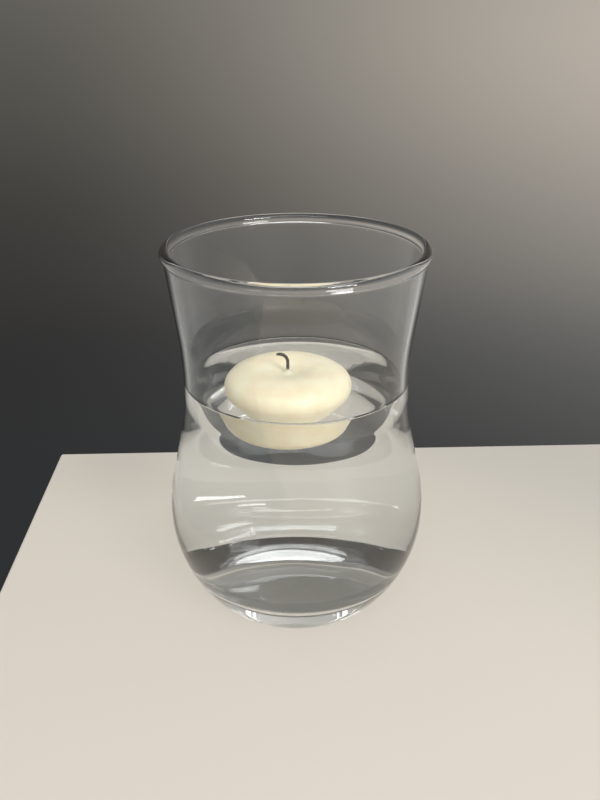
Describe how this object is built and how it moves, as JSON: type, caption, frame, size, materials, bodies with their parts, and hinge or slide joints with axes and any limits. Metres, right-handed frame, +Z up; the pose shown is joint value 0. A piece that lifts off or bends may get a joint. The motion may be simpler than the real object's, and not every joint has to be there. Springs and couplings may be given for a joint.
{
  "type": "floating candle bowl",
  "caption": "Clear glass vase with a belly, waist and flared beaded mouth, filled with water that floats a round domed wax candle with a hooked wick.",
  "frame": {"origin": "centre of the glass's foot, on the table", "axes": "+Z up along the glass's own axis; -Y towards the side that the candle has drifted to, which faces the picture's camera; +X to the right as seen from there"},
  "size_m": [0.1054, 0.1054, 0.148],
  "materials": {
    "clear_glass": "gloss",
    "clear_water": "gloss",
    "ivory_wax": "satin",
    "cotton_wick": "matte",
    "tinplate": "satin"
  },
  "bodies": {
    "vase": {"glass_vase": "clear_glass"},
    "water_body": {"water": "clear_water"},
    "candle": {"candle_wax": "ivory_wax", "wick": "cotton_wick", "wick_sustainer": "tinplate"}
  },
  "joints": [
    {"name": "water_swirl", "type": "hinge", "parent": "vase", "child": "water_body", "pos_m": [0, 0, 0], "axis": [0, 0, 1], "continuous": true},
    {"name": "candle_lift", "type": "slide", "parent": "water_body", "child": "candle", "axis": [0, 0, 1], "range_m": [0, 0.08]}
  ]
}
